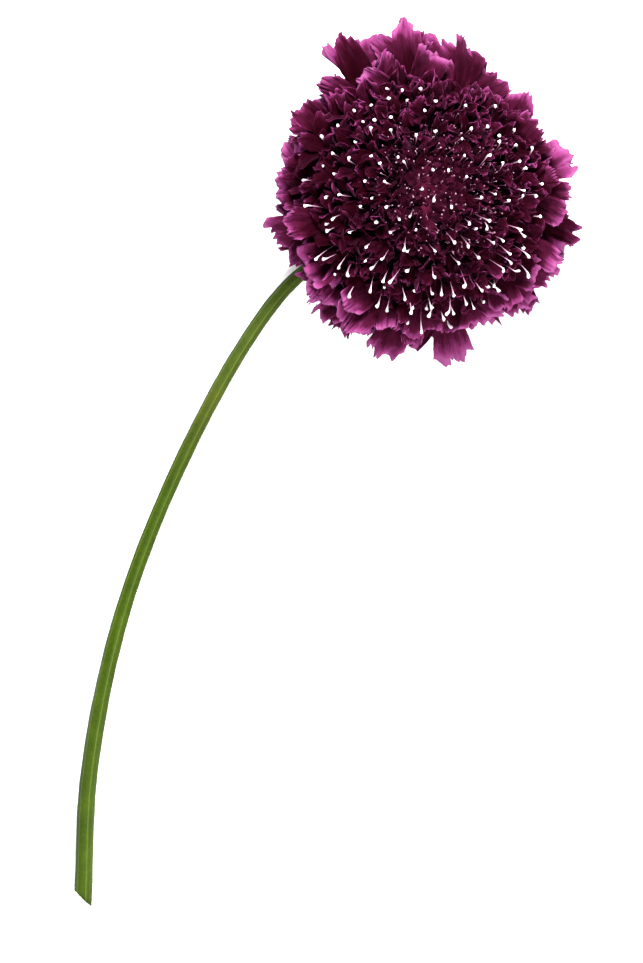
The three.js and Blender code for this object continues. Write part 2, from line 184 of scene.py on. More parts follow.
def lobe_outline(lobe, u, v, fold, uneven):
    """How far out each point of a flat lobe is, as a share of its length, and how far aside."""
    jag = np.sin(fold * pi / 2)
    broad = 0.6 * np.sin(pi * (1.2 + 1.6 * lobe["seed"]) * u + 11 * lobe["seed"])
    end = 1 - lobe["round"] * np.abs(u) ** 2.4 + lobe["teeth"] * (uneven * (jag - 0.6) + broad)
    out = v * (1 + (end - 1) * v ** 1.5)
    grow = np.sin(np.minimum(v / 0.8, 1) * pi / 2) ** 1.25
    half = 0.5 * (lobe["base"] + (lobe["width"] - lobe["base"]) * grow)
    half = half * np.sqrt(1 - lobe["close"] * (np.maximum(v - 0.5, 0) / 0.5) ** 2.6)
    return out, half * u


def lobe_lift(lobe, u, v, x, margin, fold, uneven):
    """How far each point stands off the flat lobe: its hollow, ruffles, frill and pleats."""
    lift = lobe["cup"] * np.abs(x) ** 1.6 / lobe["width"] ** 0.6
    ruffle = 2 * pi * (lobe["waves"] * u / 2 + lobe["phase"])
    lift = lift + lobe["ruffle"] * margin * np.sin(ruffle)
    crimp = 2 * pi * (lobe["frill_waves"] * (u / 2 + 0.15 * v) + lobe["frill_phase"])
    crimp = crimp + 1.4 * np.sin(6 * v + 3 * u + 9 * lobe["seed"])
    lift = lift + lobe["frill"] * uneven * margin ** 4 * np.sin(crimp)
    return lift + lobe["pleat"] * v ** 1.2 * np.cos(pi * fold)


def running_sum(values, gap):
    """The integral of (lobe, step) values up to each step."""
    middle = (values[:, 1:] + values[:, :-1]) / 2 * gap
    return np.concatenate([np.zeros((len(values), 1)), np.cumsum(middle, axis=1)], axis=1)


def sampled(table, place):
    """A (lobe, step) table read between its steps, at the (lobe, row, column) place."""
    flat = place.reshape(len(table), -1)
    low = flat.astype(int)
    first = np.take_along_axis(table, low, axis=1)
    second = np.take_along_axis(table, low + 1, axis=1)
    return (first + (second - first) * (flat - low)).reshape(place.shape)


def lobe_surface(lobes, across, along):
    """The middle surface of every lobe as (lobe, row, column, 3), with u, v and the margin.

    u goes from -1 to 1 across and v from 0 to 1 along. The margin grows to 1 at the sides and tip.
    """
    lobe = columns(lobes)
    u = np.linspace(-1, 1, across)[None, None, :]
    v = (1 - np.linspace(1, 0, along) ** 1.25)[None, :, None]
    fold, uneven = tooth_pattern(lobe, u)
    out, x = lobe_outline(lobe, u, v, fold, uneven)
    margin = np.maximum(np.abs(u) ** 2 * v, v ** 2.2)
    lift = lobe_lift(lobe, u, v, x, margin, fold, uneven)
    turn = lobe["twist"] * out
    x, lift = x * np.cos(turn) - lift * np.sin(turn), x * np.sin(turn) + lift * np.cos(turn)

    reach = np.linspace(0, CURVE_REACH, CURVE_STEPS)
    gap = reach[1]
    pitch = lobe["bend"][:, 0] * reach + lobe["curl"][:, 0] * reach ** 2
    place = np.clip(out / gap, 0, CURVE_STEPS - 1.001)
    angle = sampled(pitch, place)
    forth = lobe["length"] * sampled(running_sum(np.cos(pitch), gap), place) - lift * np.sin(angle)
    rise = lobe["length"] * sampled(running_sum(np.sin(pitch), gap), place) + lift * np.cos(angle)
    point = lobe["origin"] + x[..., None] * np.cross(lobe["along"], lobe["face"])
    point = point + forth[..., None] * lobe["along"] + rise[..., None] * lobe["face"]
    return point, *np.broadcast_arrays(u, v, margin, out)[:3]


def surface_normals(points):
    """Unit normals of (lobe, row, column, 3) surfaces, on their upper side."""
    across = np.gradient(points, axis=2)
    along = np.gradient(points, axis=1)
    return unit(np.cross(across, along) + 1e-12)


def press_on_floor(points, normals, thickness):
    """Folds what reaches below the surface out flat along it."""
    lowest = thickness / 2 + FLOOR_GAP
    depth = np.maximum(lowest - points[..., 2], 0)
    outward = points - HEAD_CENTRE
    outward[..., 2] = 0
    points = points + unit(outward + 1e-9) * depth[..., None]
    points[..., 2] = np.maximum(points[..., 2], lowest)
    flat = np.clip(depth / FLAT_DEPTH, 0, 1)[..., None]
    straight = np.where(normals[..., 2:3] > 0, 1.0, -1.0) * np.array([0, 0, 1.0])
    return points, unit(normals * (1 - flat) + straight * flat)


def repeated(faces, count, points):
    """The faces of count equal things that have so many points each."""
    return (faces[None] + (np.arange(count) * points)[:, None, None]).reshape(-1, 4)


def sheet_faces(count, along, across):
    """Quads of closed sheets: both faces and the rim of each."""
    shift = along * across
    index = np.arange(shift).reshape(along, across)
    corners = [index[:-1, :-1], index[:-1, 1:], index[1:, 1:], index[1:, :-1]]
    front = np.stack(corners, axis=-1).reshape(-1, 4)
    back = front[:, ::-1] + shift
    loop = np.concatenate([index[0, :], index[1:, -1], index[-1, -2::-1], index[-2:0:-1, 0]])
    after = np.roll(loop, -1)
    rim = np.stack([after, loop, loop + shift, after + shift], axis=1)
    return repeated(np.concatenate([front, back, rim]), count, 2 * shift)


def put_in_scene(name, data):
    thing = bpy.data.objects.new(name, data)
    bpy.context.scene.collection.objects.link(thing)
    return thing


def mesh_object(name, points, faces, attributes):
    """A smooth piece from points in millimetres, with per-point values by name."""
    mesh = bpy.data.meshes.new(name)
    mesh.from_pydata(points * METRE, [], faces, shade_flat=False)
    for key, values in attributes.items():
        kind, slot = ("FLOAT_VECTOR", "vector") if values.ndim == 2 else ("FLOAT", "value")
        layer = mesh.attributes.new(key, kind, "POINT")
        layer.data.foreach_set(slot, values.astype(np.float32).ravel())
    mesh.validate()
    return put_in_scene(name, mesh)


def two_faces(*values):
    """Per-point values of surfaces as the channels of both faces of their sheets."""
    channels = np.stack(values, axis=-1)
    return np.stack([channels, channels], axis=1).reshape(-1, len(values))


def sheet_piece(name, front, back, attributes):
    """A piece of closed sheets from their (sheet, row, column, 3) faces."""
    points = np.stack([front, back], axis=1).reshape(-1, 3)
    return mesh_object(name, points, sheet_faces(*front.shape[:3]), attributes)


def lobe_piece(name, lobes, across, along, thickness):
    """All lobes of a set as closed sheets in one mesh, with the values that colour them."""
    points, u, v, margin = lobe_surface(lobes, across, along)
    points = to_row(points)
    normals = surface_normals(points)
    points, normals = press_on_floor(points, normals, thickness)
    offset = normals * thickness / 2 * (1 - MARGIN_THINNING * margin[..., None])
    lobe = columns(lobes)
    shade = two_faces(lobe["ring"] + 0 * u, v, margin)
    grain = two_faces(u, lobe["seed"] + 0 * u, 0 * u)
    return sheet_piece(name, points + offset, points - offset, {"shade": shade, "grain": grain})


# ---- curves and tubes ----


def bezier(root, bend, tip, t):
    root, bend, tip = map(np.asarray, (root, bend, tip))
    return root * (1 - t) ** 2 + bend * 2 * t * (1 - t) + tip * t ** 2


def bezier_tangent(root, bend, tip, t):
    root, bend, tip = map(np.asarray, (root, bend, tip))
    return unit((bend - root) * 2 * (1 - t) + (tip - bend) * 2 * t)


def curve_measure(root, bend, tip, start):
    """How long a curve is past start, a share of its way, and how many radians it bends there."""
    path = bezier(root, bend, tip, np.linspace(start, 1, 20)[:, None])
    way = bezier_tangent(root, bend, tip, start)
    last = bezier_tangent(root, bend, tip, 1)
    bending = atan2(last[1], last[0]) - atan2(way[1], way[0])
    return np.sum(np.linalg.norm(np.diff(path, axis=0), axis=1)), bending


def in_space(point):
    """A (radius, height) point or direction in space, over the X axis."""
    return np.array([point[0], 0, point[1]])


HELPER = (0.31, 0.87, 0.38)  # a direction that no path starts in


def side_angles(sides):
    return np.arange(sides) * 2 * pi / sides


def tube_points(paths, radii, sides):
    """Rings round paths of (path, step, 3) with radii of (path, step) or (path, step, side)."""
    tangent = unit(np.gradient(paths, axis=1))
    first = unit(np.cross(tangent[:, 0], HELPER))
    normals = []
    for along in tangent.swapaxes(0, 1):
        first = unit(first - along * np.sum(first * along, axis=-1, keepdims=True))
        normals.append(first)
    normal = np.stack(normals, axis=1)
    binormal = np.cross(tangent, normal)
    angle = side_angles(sides)[:, None]
    ring = normal[:, :, None] * np.cos(angle) + binormal[:, :, None] * np.sin(angle)
    return paths[:, :, None] + ring * radii.reshape(*paths.shape[:2], -1, 1)


def tube_faces(count, steps, sides):
    """Quads of closed tubes whose ends are drawn in to a point."""
    index = np.arange(steps * sides).reshape(steps, sides)
    after = np.roll(index, -1, axis=1)
    one = np.stack([index[:-1], after[:-1], after[1:], index[1:]], axis=-1).reshape(-1, 4)
    return repeated(one, count, steps * sides)


def tube_piece(name, paths, radii, sides, attributes):
    """A piece of tubes from their paths in the head's frame."""
    points = to_row(tube_points(np.array(paths), radii, sides).reshape(-1, 3))
    return mesh_object(name, points, tube_faces(len(paths), len(paths[0]), sides), attributes)


# ---- bloom ----

FLORET_COUNT = 140
FLORET_FIRST, FLORET_LAST = radians(17), radians(67)
DISC_LIMIT, DISC_LEAN = radians(59.5), radians(8)
OPENING_FIRST, OPENING_SPAN = radians(13), radians(52)
OUTER_OPENNESS = 0.55  # florets that are more open are in the outer piece
LOBES_PER_FLORET = 5
THROAT_RADIUS = 24.4


def floret_place(i):
    """The polar angle and the azimuth of floret i, which stands in a spiral."""
    top, bottom = cos(FLORET_FIRST), cos(FLORET_LAST)
    height = top + (bottom - top) * (i + 0.5) / FLORET_COUNT
    return acos(height) + spread(i, 1, 0.02), i * GOLDEN_ANGLE + spread(i, 2, 0.03)


def disc_floret_axes(rng, polar, azimuth, open_):
    """A disc floret's throat, and its directions out of the ball, down it and round it."""
    out, down, round_ = ball_frame(polar, azimuth)
    throat = BALL_MIDDLE + out * (THROAT_RADIUS + rng.uniform(-0.5, 0.7) + 0.8 * (1 - open_))
    out = unit(out + sway(rng, 0.12, down, round_))
    down = unit(down - out * np.dot(down, out))
    return throat, out, down, np.cross(out, down)


def disc_lobe(rng, axes, psi, open_, lit, painted_light):
    """One lobe of a disc floret: a hollowed finger near the crown, a crinkled fan further out."""
    throat, out, down, round_ = axes
    outerness = 0.5 + 0.5 * cos(psi)
    fan = open_ * (0.35 + 0.65 * outerness)
    flat = cos(psi) * down + sin(psi) * round_
    tilt = radians(82 - 34 * fan) + rng.normal(0, 0.22)
    along = cos(tilt) * flat + sin(tilt) * out
    face = cos(tilt) * out - sin(tilt) * flat
    length = (3.4 + 0.9 * open_ + 2.8 * fan) * rng.uniform(0.72, 1.25) * (1 + 0.25 * lit)
    width = (2.2 + 0.8 * open_ + 2.3 * fan) * rng.uniform(0.6, 1.05) * (1 + 0.3 * lit)
    return new_lobe(
        rng, throat + flat * 0.9, along, face, length, width,
        base=width * rng.uniform(0.3, 0.45), bend=rng.uniform(-1.3, 0.5), curl=rng.uniform(-0.8, 0.5),
        cup=rng.uniform(0.3, 1.7) * (1 - fan) + rng.uniform(-0.5, 1.1) * fan,
        ruffle=width * rng.uniform(0.05, 0.2), waves=rng.uniform(1.0, 2.2),
        ring=0.16 + 0.1 * open_ + painted_light + rng.uniform(-0.14, 0.18),
        tooth_count=rng.uniform(2.4, 5.0), teeth=rng.uniform(0.0, 0.04 + 0.08 * fan),
        round=rng.uniform(0.08, 0.28) + 0.15 * fan, close=rng.uniform(0.55, 0.9) * (1 - 0.75 * fan),
        pleat=rng.uniform(0.0, 0.12), twist=rng.uniform(-0.8, 0.8),
    )


def disc_florets(rng):
    """Lobes of the open disc florets, in two sets, and where each floret's throat is."""
    inner, outer, throats = [], [], []
    for i in range(FLORET_COUNT):
        polar, azimuth = floret_place(i)
        if polar > DISC_LIMIT - DISC_LEAN * cos(azimuth):
            continue  # the disc ends sooner on the low side
        open_ = np.clip((polar - OPENING_FIRST) / OPENING_SPAN, 0, 1)
        axes = disc_floret_axes(rng, polar, azimuth, open_)
        throats.append((*axes, open_))
        sideways, away, _ = HEAD_TURN @ axes[1]
        lit = max(0.0, away)
        # Painted light: florets that face +Y and +X get lighter lobes.
        painted_light = 0.24 * lit + 0.14 * max(0.0, sideways)
        phase = rng.uniform(-0.5, 0.5)
        where = outer if open_ > OUTER_OPENNESS else inner
        for k in range(LOBES_PER_FLORET):
            psi = phase + k * 2 * pi / LOBES_PER_FLORET + rng.normal(0, 0.18)
            where.append(disc_lobe(rng, axes, psi, open_, lit, painted_light))
    return inner, outer, throats


CLAW = 0.32  # the share of a ray petal that is its narrow claw
RAY_FAN = [(0, 1.05, 1.12), (-1, 0.9, 0.9), (1, 0.9, 0.9)]  # side, length and width of the large lobes
RIM_ROWS = 2  # the first rows are the rim's, the others the skirt's
FULL_WIDTH = 8.5  # a narrower lobe is waved less


def ray_axes(row, tip, azimuth, roll):
    """Where a ray floret's claw ends, and its directions outward, off its face and to its side."""
    turn = turn_z(azimuth)
    start = bezier(row["root"], row["bend"], tip, CLAW)
    way = bezier_tangent(row["root"], row["bend"], tip, CLAW)
    along = turn @ in_space(way)
    up = turn @ in_space((-way[1], way[0]))
    face = cos(roll) * up + sin(roll) * np.cross(along, up)
    return turn @ in_space(start), along, face, np.cross(along, face)


def large_ray_lobe(rng, axes, shape, length, bending, ring, width):
    """One of a ray floret's three broad lobes: toothed, hollowed, curled and turned a little."""
    origin, along, face, side = axes
    turn_share, long_share, wide_share = shape
    psi = turn_share * radians(rng.uniform(25, 45)) + rng.normal(0, 0.13)
    way_out = unit(cos(psi) * along + sin(psi) * side)
    lean = rng.normal(0, 0.21) + 0.1 * abs(turn_share)
    tipped = unit(cos(lean) * way_out + sin(lean) * face)
    upper = unit(face - tipped * np.dot(face, tipped))
    width = width * wide_share * rng.uniform(0.58, 1.0)
    values = dict(
        length=length * long_share * rng.uniform(0.84, 1.08), base=width * rng.uniform(0.2, 0.32),
        bend=bending * rng.uniform(0.4, 1.2), curl=rng.uniform(-0.8, 0.7),
        ring=ring + rng.uniform(-0.42, 0.12),
        tooth_count=rng.uniform(6, 10), teeth=rng.uniform(0.03, 0.08), round=rng.uniform(0.1, 0.32),
        ruffle=rng.uniform(0.6, 2.1) * min(1.0, width / FULL_WIDTH), waves=rng.uniform(1.3, 2.8),
        frill=rng.uniform(0.4, 0.95), frill_waves=rng.uniform(5, 9), close=rng.uniform(-0.55, 0.2),
        cup=rng.uniform(-0.6, 1.2), twist=rng.uniform(-0.6, 0.6), pleat=rng.uniform(0.0, 0.07),
    )
    # A twisted or sharply bent lobe is hollowed and waved less.
    calm = (1 - 0.9 * abs(values["twist"])) / max(1.0, abs(values["bend"])) ** 3
    values["cup"] *= calm
    values["ruffle"] *= calm
    return new_lobe(rng, origin, tipped, upper, width=width, **values)


def small_ray_lobe(rng, axes, turn_share, ring):
    """One of the two small lobes that stand up at the throat of a ray floret."""
    origin, along, face, side = axes
    flat = unit(0.5 * along + turn_share * side)
    tilt = radians(rng.uniform(40, 80))
    return new_lobe(
        rng, origin + 0.8 * flat, cos(tilt) * flat + sin(tilt) * face,
        cos(tilt) * face - sin(tilt) * flat, rng.uniform(4, 6.4), rng.uniform(3.6, 5.2),
        bend=rng.uniform(-1.1, 0.3), cup=rng.uniform(-0.2, 1.2), ring=ring,
        twist=rng.uniform(-0.6, 0.6),
    )


def ray_floret(rng, number, n):
    """A ray floret's axes and azimuth, and the length, bending, ring and width of its large lobes."""
    row = RAY_ROWS[number]
    i = 100 * (number + 1) + n
    azimuth = (n + 0.5 * (number % 2) + spread(i, 1, 0.16)) * 2 * pi / row["count"]
    rise = rng.uniform(-3.0, 2.8) * (1 if number < len(RAY_ROWS) - 1 else 0)
    tip = (row["tip"][0] * (1 + spread(i, 2, 0.05)), row["tip"][1] + spread(i, 3, 1.2) + rise)
    roll = np.clip(rng.normal(0, 0.32), -0.5, 0.5)
    axes = ray_axes(row, tip, azimuth, roll)
    length, bending = curve_measure(row["root"], row["bend"], tip, CLAW)
    sideways, away, _ = HEAD_TURN @ axes[1]
    upward = max(0.0, away)
    downward = max(0.0, -away) if number < RIM_ROWS else 0.0
    longer = 0.96 + 0.04 * upward + 0.43 * upward ** 2 + 0.18 * downward ** 2 + 0.07 * sideways
    length = length * rng.uniform(0.86, 1.06) * longer
    # Painted light: lobes that face +Y and +X, and rim lobes that face -Y, are painted lighter.
    ring = 0.84 + 0.06 * number + 0.12 * upward + 0.22 * downward + 0.12 * max(0.0, sideways)
    return axes, azimuth, (length, bending, ring, row["width"] * (1 + 0.05 * upward))


def ray_florets(rng):
    """Large lobes of rim and skirt, small ones, the rim's throats and the claws' ends."""
    rim, skirt, small, throats, claws = [], [], [], [], []
    for number, row in enumerate(RAY_ROWS):
        for n in range(row["count"]):
            axes, azimuth, measures = ray_floret(rng, number, n)
            origin, along, face, side = axes
            for shape in RAY_FAN:
                where = rim if number < RIM_ROWS else skirt
                where.append(large_ray_lobe(rng, axes, shape, *measures))
            for turn_share in (-1, 1):
                small.append(small_ray_lobe(rng, axes, turn_share, 0.5 + 0.06 * number))
            claws.append((origin + 0.8 * along, azimuth, number))
            if number < RIM_ROWS and rng.uniform() < 0.4:
                throats.append((origin + face * 0.8, unit(face + 0.9 * along), along, side, 1.0))
    return rim, skirt, small, throats, claws


# (columns, rows, thickness) of the lobes of each piece.
LOBE_GRIDS = {
    "disc_florets_inner": (13, 10, 0.2),
    "disc_florets_outer": (15, 10, 0.2),
    "ray_florets_rim": (33, 15, 0.25),
    "ray_florets_skirt": (33, 15, 0.25),
    "ray_florets_throat": (15, 10, 0.2),
}


def petal_pieces(rng):
    """The pieces made of lobes, the throats that styles grow from, and the claws' ends."""
    inner, outer, throats = disc_florets(rng)
    rim, skirt, small, rim_throats, claws = ray_florets(rng)
    sets = zip(LOBE_GRIDS.items(), (inner, outer, rim, skirt, small))
    pieces = [lobe_piece(name, lobes, *grid) for (name, grid), lobes in sets]
    return pieces, throats, rim_throats, claws


TUBE_SIDES = 10
DISC_TUBE_RADII = [0.02, 0.55, 0.6, 0.62, 0.68, 0.8, 1.0, 1.35, 0.02]
RAY_TUBE_RADII = [0.02, 0.75, 0.8, 0.85, 0.95, 1.1, 1.3, 1.5, 0.02]
DISC_TUBE_ROOT = 16  # how far from the ball's middle the disc's tubes start
DISC_TUBE_RING, RAY_TUBE_RING = 0.1, 0.75


def floret_tubes(throats, claws):
    """The slim tubes that carry the lobes: the disc's, and the ray florets' below the disc."""
    paths, radii = [], []
    share = np.linspace(0, 1, len(DISC_TUBE_RADII))
    t = share[:, None]
    for throat, out, *_ in throats:
        root = BALL_MIDDLE + unit(throat - BALL_MIDDLE) * DISC_TUBE_ROOT
        paths.append(root + (throat + out * 0.7 - root) * t)
        radii.append(DISC_TUBE_RADII)
    for tip, azimuth, number in claws:
        turn = turn_z(azimuth)
        root = turn @ in_space((4.4, 3.2 - 0.3 * number))
        bend = turn @ in_space((12, 6.4 - 1.5 * number))
        paths.append(bezier(root, bend, tip, t))
        radii.append(RAY_TUBE_RADII)
    low = np.tile(np.repeat(1 - share, TUBE_SIDES), len(paths))
    of_ray = np.repeat([0] * len(throats) + [1] * len(claws), TUBE_SIDES * len(share))
    ring = np.where(of_ray, RAY_TUBE_RING, DISC_TUBE_RING)
    shade = np.stack([ring, 0.3 + 0.4 * low * of_ray, 0 * low], axis=1)
    across = np.tile(0.3 * np.cos(2 * side_angles(TUBE_SIDES)), len(share) * len(paths))
    grain = np.stack([across, 0.5 + 0 * low, 0 * low], axis=1)
    attributes = {"shade": shade, "grain": grain}
    return tube_piece("floret_tubes", paths, np.array(radii), TUBE_SIDES, attributes)


# ---- styles ----

# (share of the style's length, radius), with the head at the end.
PIN_PROFILE = [
    (0.0, 0.02), (0.02, 0.1), (0.3, 0.07), (0.58, 0.075), (0.73, 0.105), (0.82, 0.145), (0.89, 0.2),
    (0.935, 0.28), (0.965, 0.36), (0.985, 0.4), (0.998, 0.35), (1.006, 0.21), (1.009, 0.02),
]
PIN_SIDES = 10
ASKEW_FROM = 0.86  # the share of a style past which it bends aside
CROWN_PINS, CROWN_SPREAD, CROWN_ROOT = 8, radians(15), 24
CROWN_OPENNESS = 0.2
CROWDING = 0.95
HAIR_COUNT, HAIR_SPREAD, HAIR_ROOT = 420, radians(36), 24.5


def crown_throats():
    """Where the few styles stand that rise among the buds."""
    made = []
    for i in range(CROWN_PINS):
        polar = CROWN_SPREAD * sqrt((i + 0.4) / CROWN_PINS)
        out, down, round_ = ball_frame(polar, i * GOLDEN_ANGLE + 1.1)
        made.append((BALL_MIDDLE + out * CROWN_ROOT, out, down, round_, CROWN_OPENNESS))
    return made


def nearness(throat):
    """1 on the side of the head that faces the stem's cut end, -1 on the far side."""
    return unit(throat - BALL_MIDDLE) @ NEAR


def crowded_throats(rng, throats):
    """Throats of near florets that show by their styles alone, between the open ones."""
    made = []
    for throat, out, down, round_, open_ in throats:
        if rng.uniform() < CROWDING * nearness(throat):
            between = throat + rng.normal(0, 0.9) * down + rng.uniform(1.6, 2.6) * round_
            made.append((between, out, down, round_, open_))
    return made


def style_path(rng, axes, share):
    """The middle line of one style, or None if it fell. Far ones turn up and near ones droop."""
    throat, out, down, round_, open_ = axes
    near, far = max(0.0, nearness(throat)), max(0.0, -nearness(throat))
    if rng.uniform() < 0.35 * far:
        return None
    upturn = 1.5 * far + 0.35 * open_ * (1 - near)
    heading = unit(out + sway(rng, 0.14, down, round_) + 0.3 * near * NEAR + upturn * SKYWARD)
    length = rng.uniform(5.6, 8.2) + 0.9 * near - 1.0 * (1 - open_)
    t = share[:, None]
    askew = sway(rng, 0.55, down, round_)
    aside = np.maximum(t - ASKEW_FROM, 0) ** 2 / (2 * (1 - ASKEW_FROM)) * length
    path = bezier(throat, throat + out * length * 0.45, throat + heading * length, t)
    return path + askew * aside


def hair_path(rng, i, share):
    """One of the short fine hairs that stand between the buds of the crown."""
    polar = HAIR_SPREAD * sqrt((i + 0.5) / HAIR_COUNT)
    out, down, round_ = ball_frame(polar, i * GOLDEN_ANGLE + 2.2)
    root = BALL_MIDDLE + out * HAIR_ROOT
    way = out + sway(rng, 0.26, down, round_)
    return root + way * rng.uniform(1.8, 4.0) * share[:, None]


def head_shape(rng, count):
    """How far each side of a style's head stands out, so that no head is quite round."""
    angle = side_angles(PIN_SIDES)
    turn = rng.uniform(0, 2 * pi, (2, count, 1))
    oval = rng.uniform(0.05, 0.26, (count, 1))
    return 1 + oval * np.cos(2 * angle + turn[0]) + 0.1 * np.cos(3 * angle + turn[1])


def style_pins(rng, throats):
    """The styles: pale threads that widen into white stigmas like the heads of pins."""
    share, radius = np.array(PIN_PROFILE).T
    paths, radii, ends = [], [], []
    for axes in throats:
        path = style_path(rng, axes, share)
        if path is not None:
            paths.append(path)
            radii.append(radius * rng.uniform(0.66, 0.97))
            ends.append(1.0)
    for i in range(HAIR_COUNT):
        paths.append(hair_path(rng, i, share))
        radii.append(radius * rng.uniform(0.2, 0.48))
        ends.append(rng.uniform(0.4, 0.74))
    wide = np.array(radii)[..., None] * head_shape(rng, len(paths))[:, None]
    level = (np.array(ends)[:, None] * np.repeat(share, PIN_SIDES)[None]).ravel()
    return tube_piece("styles", paths, wide, PIN_SIDES, {"level": level})


# ---- buds and receptacle ----

BUD_COUNT, BUD_SPREAD = 88, radians(20)
BUD_CENTRE_RADIUS = 26.2
BUD_ROWS, BUD_COLUMNS = 12, 25
BUD_POLES = 0.02  # from the poles to the first and last row, in radians
RECEPTACLE_RADIUS = 20.5
RECEPTACLE_BACK = [(18.5, 7.0), (14, 5.8), (9, 4.2), (5.5, 2.2), (0.05, 1.5)]


def bud_shape(rng, turn):
    """The surface of one bud, as (row, column, 3), and how high and how deep in a fold it lies."""
    theta = np.linspace(BUD_POLES, pi - BUD_POLES, BUD_ROWS)[:, None]
    phi = side_angles(BUD_COLUMNS)[None, :]
    fold = 0.5 - 0.5 * np.cos(5 * phi + turn)
    top = np.exp(-(theta / 0.8) ** 2)
    size = rng.uniform(0.5, 1.1)
    radius = size * (1 - (0.12 + 0.3 * top) * fold) * np.sin(theta)
    dimple = 1 - 0.55 * np.exp(-(theta / 0.4) ** 2)
    height = size * rng.uniform(1.1, 1.7) * np.cos(theta) * dimple - 0.25 * size * top * fold
    shape = np.stack([radius * np.cos(phi), radius * np.sin(phi), height], axis=-1)
    return shape, 0.5 + 0.5 * np.cos(theta) + 0 * phi, 1 - fold + 0 * theta


def crown_buds(rng):
    """Closed buds in the middle of the face, each a small ball of five folded lobes."""
    points, shades = [], []
    for i in range(BUD_COUNT):
        polar = BUD_SPREAD * sqrt((i + 0.3) / BUD_COUNT) * rng.uniform(0.93, 1.07)
        out, down, round_ = ball_frame(polar, i * GOLDEN_ANGLE + rng.uniform(-0.1, 0.1))
        centre = BALL_MIDDLE + out * (BUD_CENTRE_RADIUS + rng.uniform(-0.9, 0.9))
        out = unit(out + sway(rng, 0.25, down, round_))
        down = unit(down - out * np.dot(down, out))
        shape, rise, crest = bud_shape(rng, i)
        points.append((centre + shape @ np.array([down, np.cross(out, down), out])).reshape(-1, 3))
        ring = rng.uniform(0.3, 0.8) + 0 * rise
        # Painted highlight: the margin channel pales the buds' tops and crests, so their folds stay
        # darker as painted shade.
        shades.append(np.stack([ring, rise * 0.85, 0.95 * rise * crest], axis=-1).reshape(-1, 3))
    points = to_row(np.concatenate(points))
    shade = np.concatenate(shades)
    faces = tube_faces(BUD_COUNT, BUD_ROWS, BUD_COLUMNS)[:, ::-1]
    return mesh_object("crown_buds", points, faces, {"shade": shade, "grain": np.zeros_like(shade)})


def lathe_piece(name, profile, sides):
    """A closed turned solid in the head's frame from (radius, height) points, top first."""
    radius, height = np.array(profile, float).T[..., None]
    angle = side_angles(sides)
    points = np.stack([radius * np.cos(angle), radius * np.sin(angle), height + 0 * angle], axis=-1)
    faces = tube_faces(1, len(profile), sides)[:, ::-1]
    return mesh_object(name, to_row(points.reshape(-1, 3)), faces, {})


def receptacle():
    """The core that shows between the florets, dark as painted shade: half a ball with a tapering
    back.
    """
    arc = np.radians(np.linspace(1, 90, 26))
    dome = RECEPTACLE_RADIUS * np.stack([np.sin(arc), np.cos(arc)], axis=1) + (0, HEAD_LIFT)
    return lathe_piece("receptacle", [*dome, *RECEPTACLE_BACK], 48)


# ---- involucre ----


def bract_lobes(rng):
    """The bracts, which leave the top of the stem and bend back under the petals."""
    lobes = []
    for i in range(BRACT_COUNT):
        turn = turn_z((i + spread(i, 21, 0.15)) * 2 * pi / BRACT_COUNT)
        tip = (BRACT_TIP[0] + spread(i, 23, 1), BRACT_TIP[1] * (1 + spread(i, 22, 0.1)))
        way = bezier_tangent(BRACT_ROOT, BRACT_BEND, tip, 0)
        along, face = turn @ in_space(way), turn @ in_space((-way[1], way[0]))
        length, bending = curve_measure(BRACT_ROOT, BRACT_BEND, tip, 0)
        lobes.append(new_lobe(
            rng, turn @ in_space(BRACT_ROOT), along, face, length, rng.uniform(4.2, 5.0), base=2.6,
            bend=bending * 1.35, curl=-bending * 0.35, cup=-0.35, ruffle=0.15, frill=0.04,
            twist=rng.uniform(-0.15, 0.15), teeth=0.0, round=0.0,
        ))
    return lobes


BRACT_GRID = (11, 22)  # columns and rows
BRACT_THICKNESS = 0.5


def bract_piece(rng):
    """The bracts as closed sheets: broad below, drawn out to a point, with a rib on the back."""
    points, u, v, _ = lobe_surface(bract_lobes(rng), *BRACT_GRID)
    taper = 0.95 * np.sin(pi * v ** 0.75) ** 0.7 + 0.05 + 0.45 * (1 - v) ** 2
    middle = BRACT_GRID[0] // 2
    spine = points[:, :, middle:middle + 1]
    points = to_row(spine + (points - spine) * taper[..., None])
    normals = surface_normals(points)
    half = (BRACT_THICKNESS / 2 * (1 - 0.6 * u ** 2))[..., None]
    rib = (0.16 * np.exp(-(u / 0.16) ** 2) * (1 - v))[..., None]
    front, back = points + normals * half, points - normals * (half + rib)
    return sheet_piece("bracts", front, back, {"grain": two_faces(u, v, 0 * u)})


COLLAR_PROFILE = [
    (0.05, 2.4), (3.6, 2.3), (4.6, 1.7), (5.1, 0.9), (5.2, 0.4), (5.0, -0.1), (4.5, -0.5),
    (3.8, -0.8), (3.0, -1.1), (0.05, -1.2),
]


def collar():
    """The ring that the bracts grow from. Its grain stays zero, which is plain green."""
    piece = lathe_piece("collar", COLLAR_PROFILE, 40)
    piece.data.attributes.new("grain", "FLOAT_VECTOR", "POINT")
    return piece


# ---- stem ----


